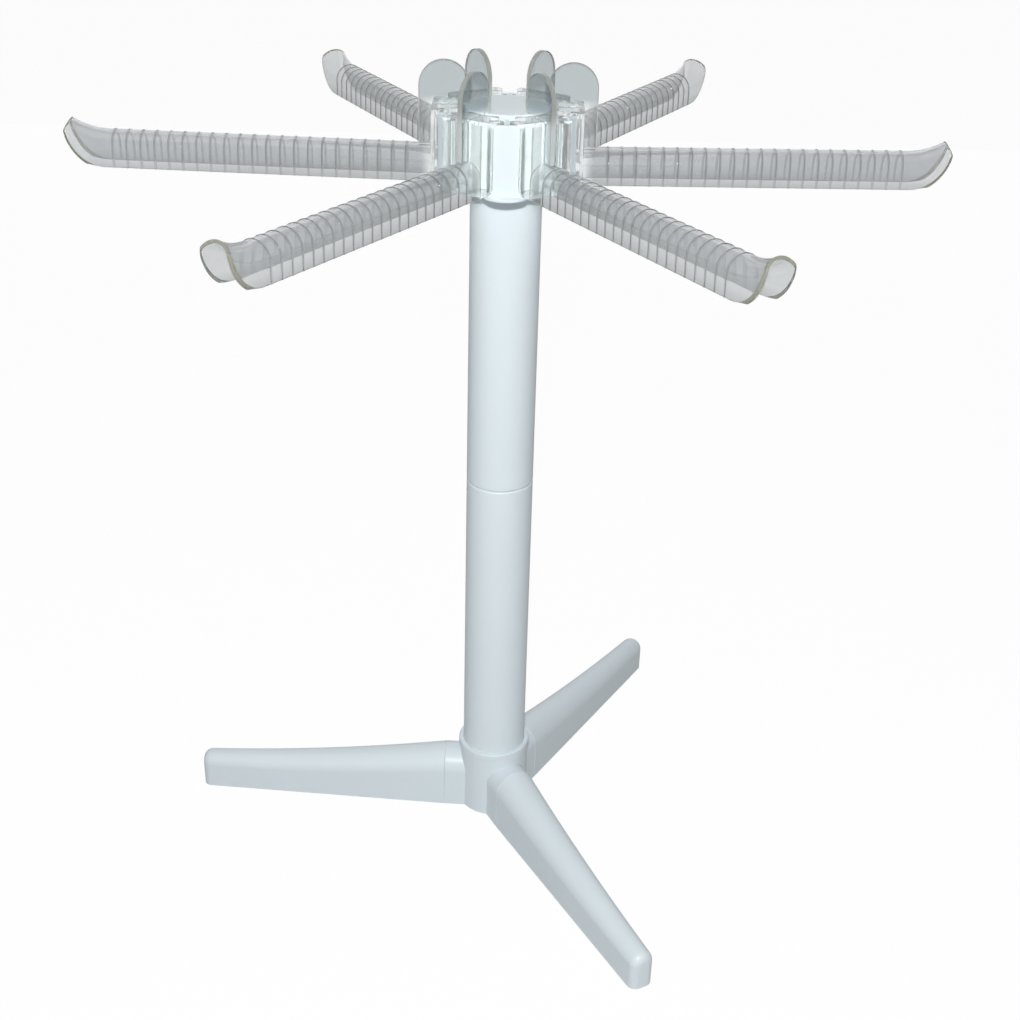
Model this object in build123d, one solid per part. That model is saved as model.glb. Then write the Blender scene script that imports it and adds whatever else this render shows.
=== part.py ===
from build123d import *
import os
from math import acos, cos, degrees, pi, radians, sin

# Pasta drying rack: a white column on a three-legged foot, with six clear arms around its head.
# Millimetres. The origin is on the column's axis at the floor, +Z is up and the first arm lies along +X.

# Fits
slide_gap = 0.3
slip_fit = 0.06
fuse_depth = 0.6
overrun = 5.0

# Foot hub
hub_height = 47.4
hub_radius = 21.6
hub_wall = 2.2
hub_lip_radius = 22.4
hub_lip_height = 5.0
tube_socket_depth = 20.0
tube_seat_thickness = 2.5
foot_turn = -2.1

# Legs
leg_count = 3
leg_reach = 191.0
leg_seam = 31.0
leg_root_height = 38.0
leg_tip_height = 23.0
leg_root_half_width = 13.0
leg_tip_half_width = 7.2
leg_sag = 2.8
leg_wall = 2.2
leg_sides = 10
hidden_sides = 4
leg_spans = 4
leg_tip_rounding = 4.0
leg_tip_steps = 3
tongue_half_width = 6.5
tongue_top = 18.0
tongue_bottom = 3.0
tongue_end = 9.5
tongue_wall = 2.2
sleeve_wall = 1.8

# Column
column_radius = 19.5
column_wall = 2.0
seam_height = 233.5
neck_length = 25.0
neck_wall = 1.8
tube_lip = 0.7

# Head core
head_bottom = 411.0
head_height = 38.5
floor_thickness = 2.0
floor_radius = 35.8
core_radius = 24.0
core_wall = 2.0
web_thickness = 2.0
post_face = 37.8
post_thickness = 2.0
post_width = 13.0
lug_radius = 12.0
lug_reach = 42.0
head_spigot_length = 30.0
head_spigot_wall = 2.0
flare_steps = 3

# Centre cap
cap_thickness = 2.0
cap_finger_count = 3
cap_finger_length = 6.0
cap_finger_width = 8.0
cap_finger_wall = 1.6

# Arms
arm_count = 6
arm_reach = 233.0
arm_height = 18.3
arm_half_width = 8.8
arm_wall = 1.8
arm_drop = 19.0
arm_slope = 0.85
arm_sides = 4
rib_count = 22
rib_root_gap = 13.3
rib_end_gap = 25.2
rib_width = 1.4
rib_height = 0.5

# Flared lip at an arm's end
lip_rise = 5.2
lip_bend_radius = 42.0
lip_nose = 2.5
lip_steps = 4
lip_sweep = 21.0
lip_sweep_rise = 5.6
lip_sweep_steps = 8

# Arm roots and finger tabs
root_face = 40.0
root_face_wall = 3.2
root_wall = 2.2
root_corner = 5.0
top_plate_thickness = 2.0
top_plate_inset = 4.0
top_plate_corner = 1.8
blade_thickness = 2.4
tab_inner = 20.5
tab_width = 26.4
tab_top = 473.9
tab_cap_gap = 0.5

# Derived levels and radii
sector = 360.0 / arm_count
half_sector = sector / 2
head_top = head_bottom + head_height
floor_top = head_bottom + floor_thickness
tube_bore = column_radius - column_wall
spigot_radius = tube_bore - slip_fit
tube_socket_floor = hub_height - tube_socket_depth
core_bore = core_radius - core_wall
arm_top = head_top - arm_drop
cap_top = head_top + cap_thickness
post_inner = post_face - post_thickness
blade_half = blade_thickness / 2


def turned(shape, angle):
    """The shape, turned about the column's axis."""
    return Rot(0, 0, angle) * shape


def span(x_from, x_to, y_from, y_to):
    """A rectangle between two X values and two Y values."""
    return Pos((x_from + x_to) / 2, (y_from + y_to) / 2) * Rectangle(x_to - x_from, y_to - y_from)


def disc(radius, bottom, top):
    """A round solid on the column's axis between two levels."""
    return extrude(Pos(0, 0, bottom) * Circle(radius), top - bottom)


def evenly(start, end, steps):
    """Values from start to end in even steps."""
    return [start + (end - start) * i / steps for i in range(steps + 1)]


def arch_points(half_width, crest, sides):
    """Points across and up along an arch of flat sides, from one shoulder over the crest to the other."""
    shoulder = crest - half_width
    return [(-half_width * cos(turn), shoulder + half_width * sin(turn)) for turn in evenly(0, pi, sides)]


def wall_points(half_width, crest, foot, sides):
    """The same arch with an upright side below each shoulder."""
    return [(-half_width, foot), *arch_points(half_width, crest, sides), (half_width, foot)]


def wall_face(half_width, crest, foot, sides):
    return make_face(Polyline(*wall_points(half_width, crest, foot, sides), close=True))


def radial(face, reach):
    """A face drawn with X across and Y up, stood at a distance along +X and facing outwards."""
    return Plane(origin=(reach, 0, 0), x_dir=(0, 1, 0), z_dir=(1, 0, 0)) * face


def ring(points, reach):
    """Points drawn across and up, stood at a distance along +X."""
    return [(reach, across, up) for across, up in points]


def faceted(rings):
    """A solid with flat faces from ring to ring, each ring's sides parallel to those before it."""
    faces = [make_face(Polyline(*end, close=True)) for end in (rings[0], rings[-1])]
    for near, far in zip(rings, rings[1:]):
        for i in range(len(near)):
            corners = (near[i - 1], near[i], far[i], far[i - 1])
            faces.append(make_face(Polyline(*corners, close=True)))
    return Solid(Shell([f for made in faces for f in made.faces()]))


# Foot hub
def leg_azimuth(k):
    """Direction of a leg about the column's axis."""
    return 180 + foot_turn + k * 360.0 / leg_count


def tongue_section(grow):
    """Section of a leg's tongue, or of what surrounds it when grown."""
    return wall_face(tongue_half_width + grow, tongue_top + grow, tongue_bottom - grow, hidden_sides)


def make_base_hub():
    lip_foot = hub_height - hub_lip_height
    lip_step = hub_lip_radius - hub_radius
    outline = Polyline(
        (0, 0), (hub_radius, 0), (hub_radius, lip_foot), (hub_lip_radius, lip_foot + lip_step),
        (hub_lip_radius, hub_height), (0, hub_height), close=True,
    )
    body = revolve(Plane.XZ * make_face(outline), Axis.Z)
    stub = extrude(radial(wall_face(leg_root_half_width, leg_root_height, 0, leg_sides), 0), leg_seam)
    under_half = leg_root_half_width - hub_wall
    under_top = tube_socket_floor - tube_seat_thickness
    stub_hollow_face = wall_face(under_half, under_top, -overrun, hidden_sides)
    stub_hollow = extrude(radial(stub_hollow_face, 0), leg_seam - hub_wall)
    sleeve_start = tongue_end - slide_gap - sleeve_wall
    sleeve_face = tongue_section(slide_gap + sleeve_wall) & span(-hub_radius, hub_radius, 0, hub_height)
    sleeve = extrude(radial(sleeve_face, sleeve_start), leg_seam - sleeve_start)
    socket = extrude(radial(tongue_section(slide_gap), tongue_end - slide_gap), leg_seam)
    for k in range(leg_count):
        body += turned(stub, leg_azimuth(k))
    body -= disc(hub_radius - hub_wall, -overrun, under_top)
    for k in range(leg_count):
        body -= turned(stub_hollow, leg_azimuth(k))
    for k in range(leg_count):
        body += turned(sleeve, leg_azimuth(k))
    body -= disc(column_radius + slip_fit, tube_socket_floor, hub_height + overrun)
    for k in range(leg_count):
        body -= turned(socket, leg_azimuth(k))
    return body


# Legs
def leg_share(reach):
    """How far a distance from the axis lies along a leg, from 0 at its seam to 1 at its tip."""
    return (reach - leg_seam) / (leg_reach - leg_seam)


def leg_half_width_at(reach):
    return leg_root_half_width + (leg_tip_half_width - leg_root_half_width) * leg_share(reach)


def leg_height_at(reach):
    """Height of a leg's crest: a straight fall with a slight sag in the middle."""
    share = leg_share(reach)
    fall = leg_root_height - leg_tip_height
    return leg_root_height - fall * share - 4 * leg_sag * share * (1 - share)


def leg_form(stations, foot, sides):
    """A leg's form from its stations: distances along it, each with an inset of the crest and the sides."""
    rings = []
    for reach, inset in stations:
        half_width = leg_half_width_at(reach) - inset
        rings.append(ring(wall_points(half_width, leg_height_at(reach) - inset, foot, sides), reach))
    return faceted(rings)


def make_leg():
    outer = [(reach, 0) for reach in evenly(leg_seam, leg_reach - leg_tip_rounding, leg_spans)]
    for turn in evenly(0, pi / 2, leg_tip_steps)[1:]:
        reach = leg_reach - leg_tip_rounding * (1 - sin(turn))
        outer.append((reach, leg_tip_rounding * (1 - cos(turn))))
    inner = [(reach, leg_wall) for reach in evenly(leg_seam + leg_wall, leg_reach - leg_wall, leg_spans)]
    leg = leg_form(outer, 0, leg_sides) - leg_form(inner, -overrun, hidden_sides)
    hollow_half = tongue_half_width - tongue_wall
    hollow = wall_face(hollow_half, tongue_top - tongue_wall, tongue_bottom - overrun, hidden_sides)
    tongue = extrude(radial(tongue_section(0), tongue_end), leg_seam - tongue_end + fuse_depth)
    tongue -= extrude(radial(hollow, tongue_end + tongue_wall), leg_seam - tongue_end - tongue_wall)
    return leg + tongue


# Column
def make_lower_tube():
    neck_top = seam_height + neck_length
    neck_bore = spigot_radius - neck_wall
    outline = Polyline(
        (tube_bore, tube_socket_floor), (column_radius, tube_socket_floor),
        (column_radius, seam_height - tube_lip), (column_radius - tube_lip, seam_height),
        (spigot_radius, seam_height), (spigot_radius, neck_top), (neck_bore, neck_top),
        (neck_bore, seam_height - column_wall), (tube_bore, seam_height - column_wall), close=True,
    )
    return revolve(Plane.XZ * make_face(outline), Axis.Z)


def make_upper_tube():
    tube = disc(column_radius, seam_height, head_bottom)
    return tube - disc(tube_bore, seam_height - overrun, head_bottom + overrun)


# Head core
def make_head_core():
    lug = Pos(lug_reach - lug_radius, 0) * Circle(lug_radius)
    lobe = span(0, post_inner + fuse_depth, -web_thickness / 2, web_thickness / 2)
    lobe += span(post_inner, post_face, -post_width / 2, post_width / 2)
    plan = Circle(core_radius)
    floor = Circle(floor_radius)
    for k in range(arm_count):
        between_arms = half_sector + k * sector
        plan += turned(lobe, between_arms)
        floor += turned(lug, between_arms)
    body = extrude(Pos(0, 0, head_bottom) * plan, head_height)
    body += extrude(Pos(0, 0, head_bottom) * floor, floor_thickness)
    flare = extrude(radial(flare_section(), post_inner), post_thickness)
    flare &= extrude(Pos(0, 0, head_bottom) * lug, head_height)
    for k in range(arm_count):
        body += turned(flare, half_sector + k * sector)
    spigot_bottom = head_bottom - head_spigot_length
    body += disc(spigot_radius, spigot_bottom, floor_top)
    body -= disc(core_bore, floor_top, head_top + overrun)
    body -= disc(spigot_radius - head_spigot_wall, spigot_bottom - overrun, head_top)
    return body


def flare_section():
    """Foot of a post: it widens onto the floor in two hollow curves of flat sides, one on each side."""
    side = post_width / 2 + slide_gap + root_corner
    hollow = root_corner + slide_gap
    points = [(0, floor_top - fuse_depth), (side, floor_top - fuse_depth)]
    for turn in evenly(0, pi / 2, flare_steps):
        points.append((side - hollow * sin(turn), floor_top + root_corner - hollow * cos(turn)))
    points.append((0, floor_top + root_corner))
    half = make_face(Polyline(*points, close=True))
    return half + mirror(half, Plane.YZ)


def make_centre_cap():
    """The disc that closes the core, with fingers below that find its bore."""
    cap = disc(core_radius, head_top, cap_top)
    finger_face = core_bore - slip_fit
    finger_plan = span(finger_face - cap_finger_wall, core_bore, -cap_finger_width / 2, cap_finger_width / 2)
    finger_plan &= Circle(finger_face)
    finger = extrude(Pos(0, 0, head_top - cap_finger_length) * finger_plan, cap_finger_length)
    for k in range(cap_finger_count):
        cap += turned(finger, half_sector + k * 360.0 / cap_finger_count)
    return cap


# Arms
def slot_point(along, aside):
    """A point in an arm's frame, measured along the post beside it and sideways from that post's middle."""
    turn = radians(half_sector)
    return (along * cos(turn) + aside * sin(turn), along * sin(turn) - aside * cos(turn))


def slot_exit(x, aside):
    """Where the line at one distance beside the post's middle crosses an X value of the arm's frame."""
    turn = radians(half_sector)
    return slot_point((x - aside * sin(turn)) / cos(turn), aside)


def mirrored_face(points):
    """A closed face from the points of its +Y half, listed from its inner end to its outer end."""
    others = [(x, -y) for x, y in reversed(points)]
    return make_face(Polyline(*points, *others, close=True))


def root_section():
    """Section of an arm's root: it fills the slot between two posts and hooks behind them."""
    beside_web = web_thickness / 2 + slide_gap
    beside_post = post_width / 2 + slide_gap
    behind_post = post_inner - slide_gap
    return mirrored_face([
        slot_exit(core_radius + slide_gap, beside_web),
        slot_point(behind_post, beside_web),
        slot_point(behind_post, beside_post),
        slot_exit(root_face, beside_post),
    ])


def is_low_corner(edge):
    """True for the two slanted bottom edges that run beside the posts out to the root's face."""
    ends = [edge @ 0, edge @ 1]
    is_low = all(abs(p.Z - floor_top) < slip_fit for p in ends)
    reaches = sorted(p.X for p in ends)
    return is_low and reaches[1] > root_face - slip_fit and reaches[0] < root_face - slip_fit


def make_root():
    outer = root_section()
    hollow = offset(outer, -root_wall, kind=Kind.INTERSECTION)
    hollow -= span(root_face - root_face_wall, root_face, -root_face, root_face)
    height = head_top - floor_top
    root = extrude(Pos(0, 0, floor_top) * outer, height)
    root = fillet(root.edges().filter_by(is_low_corner), root_corner)
    root -= extrude(Pos(0, 0, floor_top) * hollow, height)
    plate = mirrored_face([
        slot_exit(core_radius + slide_gap, top_plate_inset),
        slot_exit(root_face, top_plate_inset),
    ])
    plate = chamfer(plate.vertices().sort_by(Axis.X)[-2:], top_plate_corner)
    plate -= Circle(core_radius + slide_gap)
    return root + extrude(Pos(0, 0, head_top) * plate, top_plate_thickness)


def make_blade():
    """The radial plate through an arm's root, which stands up above the head as the finger tab."""
    tab_radius = tab_width / 2
    tab_outer = tab_inner + tab_width
    shoulder = tab_top - tab_radius
    profile = span(tab_inner, tab_outer, cap_top + tab_cap_gap, shoulder)
    profile += Pos(tab_inner + tab_radius, shoulder) * Circle(tab_radius)
    profile += span(core_radius + slide_gap, root_face, floor_top, shoulder)
    profile += span(root_face - fuse_depth, tab_outer, arm_top - fuse_depth, shoulder)
    return extrude(Plane.XZ * profile, blade_half, both=True)


def lip_angle():
    """How far the crest has turned upwards where the arm ends."""
    return acos(1 - lip_rise / lip_bend_radius)


def crest_stations():
    """Distance and rise of the crest: level from the root, then round the bend and on past the arm's end."""
    end_x = arm_reach - lip_nose
    bend_start = end_x - lip_bend_radius * sin(lip_angle())
    stations = [(root_face - fuse_depth, 0)]
    for turn in evenly(0, lip_angle(), lip_steps):
        stations.append((bend_start + lip_bend_radius * sin(turn), lip_bend_radius * (1 - cos(turn))))
    stations.append((end_x + overrun * cos(lip_angle()), lip_rise + overrun * sin(lip_angle())))
    return stations


def channel_form(inset, foot):
    """The channel's form below its crest, drawn in by an inset."""
    rings = []
    for x, rise in crest_stations():
        points = wall_points(arm_half_width - inset, arm_top + rise - inset, foot, arm_sides)
        rings.append(ring(points, x))
    return faceted(rings)


def make_rib(x):
    """A low ridge over the crest, from shoulder to shoulder."""
    rings = []
    for along, grow in ((-rib_width / 2, 0), (0, rib_height), (rib_width / 2, 0)):
        rings.append(ring(arch_points(arm_half_width + grow, arm_top + grow, arm_sides), x + along))
    return faceted(rings)


def lip_outline():
    """Side outline of an arm: its lower edge sweeps up in a quarter of an ellipse to a slanted end face."""
    centre_x = arm_reach - lip_sweep
    centre_z = arm_top + lip_sweep_rise
    foot = arm_top - arm_height
    ceiling = arm_top + lip_bend_radius
    points = [(0, ceiling), (0, foot)]
    for turn in evenly(-pi / 2, 0, lip_sweep_steps):
        points.append((centre_x + lip_sweep * cos(turn), centre_z + (centre_z - foot) * sin(turn)))
    outline = make_face(Polyline(*points, (arm_reach, ceiling), close=True))
    past_end = Rot(0, 0, degrees(lip_angle())) * span(0, lip_bend_radius, -lip_bend_radius, lip_bend_radius)
    outline -= Pos(arm_reach - lip_nose, arm_top + lip_rise) * past_end
    return extrude(Plane.XZ * outline, root_face, both=True)


def make_channel():
    foot = arm_top - arm_height
    channel = channel_form(0, foot) & lip_outline()
    rib_places = evenly(root_face + rib_root_gap, arm_reach - rib_end_gap, rib_count - 1)
    channel += [make_rib(x) for x in rib_places]
    channel -= channel_form(arm_wall, foot - overrun)
    return Pos(root_face, 0, arm_top) * Rot(0, -arm_slope, 0) * Pos(-root_face, 0, -arm_top) * channel


def make_arm():
    return make_channel() + make_root() + make_blade()


parts = {
    "base_hub": make_base_hub(),
    "lower_tube": make_lower_tube(),
    "upper_tube": make_upper_tube(),
    "head_core": make_head_core(),
    "centre_cap": make_centre_cap(),
}
leg = make_leg()
for k in range(leg_count):
    parts["leg_%d" % (k + 1)] = turned(leg, leg_azimuth(k))
arm = make_arm()
for k in range(arm_count):
    parts["arm_%d" % (k + 1)] = turned(arm, k * sector)

os.makedirs("parts", exist_ok=True)
for name, shape in parts.items():
    export_step(shape, "parts/%s.step" % name)
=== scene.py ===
from math import acos, cos, pi, radians, sin, tan

import bmesh
import bpy
from mathutils import Matrix, Vector


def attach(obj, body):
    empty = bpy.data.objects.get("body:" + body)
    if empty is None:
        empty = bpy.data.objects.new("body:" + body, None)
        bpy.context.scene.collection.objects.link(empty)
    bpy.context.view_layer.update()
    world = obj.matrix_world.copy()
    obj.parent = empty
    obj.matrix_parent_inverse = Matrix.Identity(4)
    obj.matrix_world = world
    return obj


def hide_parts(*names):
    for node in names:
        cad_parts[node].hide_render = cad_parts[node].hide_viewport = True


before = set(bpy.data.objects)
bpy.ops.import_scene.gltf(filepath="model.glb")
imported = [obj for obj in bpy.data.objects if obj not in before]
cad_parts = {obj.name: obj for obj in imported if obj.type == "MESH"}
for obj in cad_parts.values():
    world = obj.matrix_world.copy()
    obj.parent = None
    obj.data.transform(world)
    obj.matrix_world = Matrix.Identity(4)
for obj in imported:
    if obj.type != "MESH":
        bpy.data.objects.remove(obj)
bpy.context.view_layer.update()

bl_info = {
    "name": "Pasta drying rack",
    "version": (1, 0, 0),
    "blender": (4, 5, 0),
    "location": "View3D > Sidebar > Pasta rack",
    "description": "Builds a white pasta drying rack with six clear ribbed arms",
    "category": "Add Mesh",
}

ARMS = 6
LEGS = 3
PLASTIC_IOR = 1.49
WHITE_CREASE = 30.0  # degrees that an edge of a white piece turns before it is shaded as a sharp one

# Facets of round forms
ARCH_SIDES = 28      # over the arch of an arm, a leg or a stub
BLOCK_SIDES = 12     # over the arch of a tongue and of what it fits in
LUG_SIDES = 64
ROUND_SIDES = 96
EVEN_SIDES = 126     # a multiple of six, so that all turned copies meet the round body alike
TUBE_SIDES = 128

# Small distances
UNDERCUT = 0.00003   # keeps the flat faces of solids that are joined out of one plane
SINK = 0.001         # how far a solid reaches into the one that it joins
OVERRUN = 0.005      # how far a cutting solid reaches past the face that it opens
SKIN = 0.00006       # how far a satin band stands proud of the edge that it covers
LIP_EDGE = 0.0004    # depth of a lip's rounded edge and of the band over it
TAB_EDGE = 0.0003    # depth of a tab's rounded edge and of the band over it

# Section of a rib: shares of half its width and of its height
RIB_SHAPE = ((-1.0, 0.0), (-0.85, 0.5), (-0.55, 0.84), (-0.2, 0.98),
             (0.2, 0.98), (0.55, 0.84), (0.85, 0.5), (1.0, 0.0))
# How far round a leg joint's small edges the sections lie
SEAM_TURNS = (0.0, 0.4, 0.8, 1.2, pi / 2)


# Sizes and colours

def with_properties(group):
    """Makes a length or a colour property of each pair of a default and a description in a group."""
    for key, given in list(group.__annotations__.items()):
        if isinstance(given, tuple):
            shared = {"name": key.replace("_", " ").capitalize(), "default": given[0],
                      "description": given[1], "min": 0.0}
            if isinstance(given[0], tuple):
                made = bpy.props.FloatVectorProperty(size=3, max=1.0, subtype="COLOR", **shared)
            else:
                made = bpy.props.FloatProperty(unit="LENGTH", precision=4, **shared)
            group.__annotations__[key] = made
    return group


def tilt(name, description, degrees):
    return bpy.props.FloatProperty(
        name=name, description=description, default=radians(degrees), subtype="ANGLE")


@with_properties
class RackFootSizes(bpy.types.PropertyGroup):
    """Sizes of the hub and its legs."""
    hub_height: (0.0474, "Height of the hub")
    hub_radius: (0.0216, "Radius of the hub's barrel")
    hub_wall: (0.0022, "Wall thickness of the hub")
    rim_radius: (0.0224, "Radius of the rim round the hub's mouth")
    rim_height: (0.005, "Height of the rim")
    socket_floor: (0.0274, "Height that the column stands on inside the hub")
    seat: (0.0025, "Thickness of the plate below the column")
    fit: (0.00006, "Clearance around the column")
    seam: (0.031, "Distance of a leg's joint from the axis")
    reach: (0.191, "Distance of a leg's tip from the axis")
    root_height: (0.038, "Height of a leg at its joint")
    tip_height: (0.023, "Height of a leg at its tip")
    root_half_width: (0.013, "Half the width of a leg at its joint")
    tip_half_width: (0.0072, "Half the width of a leg at its tip")
    sag: (0.0028, "How far a leg's crest dips in the middle")
    tip_rounding: (0.005, "Radius of the rounding at a leg's tip")
    leg_wall: (0.0022, "Wall thickness of a leg")
    edge: (0.0004, "Rounding of the edges at the joints")
    tongue_half_width: (0.0065, "Half the width of a leg's tongue")
    tongue_top: (0.018, "Height of a tongue's crest")
    tongue_bottom: (0.003, "Height of a tongue's foot")
    tongue_end: (0.0095, "Distance of a tongue's end from the axis")
    tongue_gap: (0.0003, "Clearance around a tongue")
    sleeve_wall: (0.0018, "Wall around a tongue's socket")
    turn: tilt("Foot turn", "How far the foot is turned on the floor", -2.1)


@with_properties
class RackColumnSizes(bpy.types.PropertyGroup):
    """Sizes of the column's two tubes."""
    radius: (0.0195, "Outer radius of the tubes")
    bore: (0.0175, "Inner radius of the tubes")
    spigot: (0.01744, "Radius of the necks that hold the pieces together")
    neck_length: (0.025, "How far the lower tube reaches into the upper one")
    neck_wall: (0.0018, "Wall thickness of the neck")
    seam: (0.2335, "Height where the two tubes meet")
    lower_lip: (0.0014, "Rounding of the lower tube's top edge")
    upper_lip: (0.0013, "Rounding of the upper tube's lower edge")
    end_edge: (0.0003, "Rounding of the column's other edges")


@with_properties
class RackArmSizes(bpy.types.PropertyGroup):
    """Sizes of one clear arm."""
    reach: (0.233, "Distance of an arm's tip from the axis")
    crest: (0.4305, "Height of the arm's crest above the floor at its root")
    height: (0.0183, "Height of the channel")
    half_width: (0.0088, "Half the width of the channel")
    wall: (0.0018, "Wall thickness of the channel")
    slope: tilt("Slope", "How far the arm rises outwards", 0.85)
    ribs: bpy.props.IntProperty(name="Ribs", description="Number of ribs across the arm", default=22, min=1)
    rib_first: (0.0533, "Distance of the first rib from the axis")
    rib_last: (0.2078, "Distance of the last rib from the axis")
    rib_width: (0.0011, "Width of a rib at its foot")
    rib_height: (0.00034, "How far a rib stands proud")
    lip_rise: (0.0052, "How far the crest turns up at the tip")
    lip_bend: (0.042, "Radius of the crest's upward bend")
    lip_nose: (0.0025, "How far the crest's end stays inside the reach")
    lip_sweep: (0.021, "Length of the lower edge's upward sweep")
    lip_thinning: (0.0005, "How much thinner the wall is at the lip's end")
    lip_sweep_rise: (0.0056, "How far the sweep ends above the crest")


@with_properties
class RackHeadSizes(bpy.types.PropertyGroup):
    """Sizes around the arm roots."""
    bottom: (0.411, "Height of the head's underside")
    floor_radius: (0.0358, "Radius of the floor between the posts")
    lug_radius: (0.012, "Radius of the rounded lug below a post")
    lug_reach: (0.042, "Distance of a lug's end from the axis")
    core_wall: (0.002, "Wall thickness of the central tube")
    spigot_length: (0.030, "How far the head reaches into the column")
    spigot_wall: (0.002, "Wall thickness of the spigot")
    edge: (0.0004, "Rounding of the head's edges")
    finger_length: (0.006, "Length of the cap's fingers")
    finger_width: (0.008, "Width of the cap's fingers")
    finger_wall: (0.0016, "Thickness of the cap's fingers")
    floor_top: (0.413, "Height that the arm roots rest on")
    head_top: (0.4495, "Height of the head's posts")
    root_face: (0.040, "Distance of an arm root's outer face from the axis")
    face_wall: (0.0032, "Thickness of an arm root's outer wall")
    root_wall: (0.0022, "Thickness of an arm root's other walls")
    core_radius: (0.024, "Outer radius of the head's central tube")
    web: (0.002, "Thickness of the webs between arm roots")
    post_face: (0.0378, "Distance of a post's outer face from the axis")
    post_thickness: (0.002, "Thickness of a post")
    post_width: (0.013, "Width of a post")
    gap: (0.0003, "Clearance around an arm root")
    root_corner: (0.005, "Radius of a root's lower corners")
    plate: (0.002, "Thickness of a root's top plate")
    plate_inset: (0.004, "How far a top plate stays off the middle of a post")
    plate_corner: (0.003, "Corner radius of a top plate")
    root_edge: (0.0006, "Rounding of a root's edges")
    plate_edge: (0.0004, "Rounding of a top plate's edges")
    blade: (0.0024, "Thickness of the finger tab")
    tab_inner: (0.0205, "Distance of the tab's inner edge from the axis")
    tab_width: (0.0264, "Width of the tab")
    tab_top: (0.4739, "Height of the tab's crown")
    cap_top: (0.4515, "Height of the centre cap")
    tab_gap: (0.0005, "Height of the tab above the cap")


@with_properties
class RackFinish(bpy.types.PropertyGroup):
    """Colours of the rack and its stage."""
    white: ((0.75, 0.832, 0.872), "Colour of the moulded white plastic")
    white_shade: ((0.72, 0.80, 0.84), "Slightly deeper tone that clouds the white plastic")
    root: ((0.90, 0.925, 0.915), "Tint of the clear plastic at the arm roots")
    clear: ((0.67, 0.685, 0.695), "Tint of the clear plastic in the arms")
    clear_shade: ((0.63, 0.645, 0.655), "Deeper tone that clouds the clear plastic")
    tab: ((0.53, 0.575, 0.59), "Tint of the clear plastic in the finger tabs")
    # Darkens the clear plastic towards the arms' lower edges.
    lower_edge_darkening: ((0.50, 0.515, 0.52), "Tint of the clear plastic towards the arms' lower edges")
    # Painted shade: the ribs are coloured darker to stand for the dark lines that light and shade draw along
    # them.
    rib: ((0.40, 0.42, 0.43), "Tint of the clear plastic in the ribs")
    edge: ((0.52, 0.525, 0.43), "Tint that shows in the edges of the lips")
    edge_shade: ((0.47, 0.475, 0.39), "Deeper tone that clouds those edges")
    tab_edge: ((0.60, 0.62, 0.59), "Tint that shows in the edges of the finger tabs")
    floor: ((0.55, 0.55, 0.55), "Colour of the studio floor")


class RackCamera(bpy.types.PropertyGroup):
    """The camera's place and lens."""
    place: bpy.props.FloatVectorProperty(
        name="Place", description="Where the camera stands", default=(0.0117, -0.7984, 0.6324), size=3,
        subtype="TRANSLATION", unit="LENGTH")
    pitch: tilt("Pitch", "How far the camera looks down", 27.76)
    yaw: tilt("Yaw", "How far the camera turns to the right", -0.37)
    roll: tilt("Roll", "How far the picture leans", -1.53)
    lens: bpy.props.FloatProperty(
        name="Lens", description="Focal length on a 36 mm sensor", default=53.38, min=1.0,
        subtype="DISTANCE_CAMERA")


# Materials

def fill(node, **values):
    """Sets a node's inputs by name, with _ for a space."""
    for name, value in values.items():
        node.inputs[name.replace("_", " ")].default_value = value
    return node


def add_node(tree, kind, **values):
    """A new node of a kind, with some inputs set."""
    return fill(tree.nodes.new(kind), **values)


def new_material(name, **values):
    """A new material, its node tree, and its shader with some inputs set."""
    material = bpy.data.materials.new(name)
    material.use_nodes = True
    tree = material.node_tree
    return material, tree, fill(tree.nodes["Principled BSDF"], **values)


def mix_surfaces(tree, share, first, second, output):
    """Feeds an output with one surface that gives way to another."""
    mix = add_node(tree, "ShaderNodeMixShader")
    for source, place in ((share, "Fac"), (first.outputs[0], 1), (second.outputs[0], 2)):
        tree.links.new(source, mix.inputs[place])
    tree.links.new(mix.outputs["Shader"], tree.nodes[output].inputs["Surface"])


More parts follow.
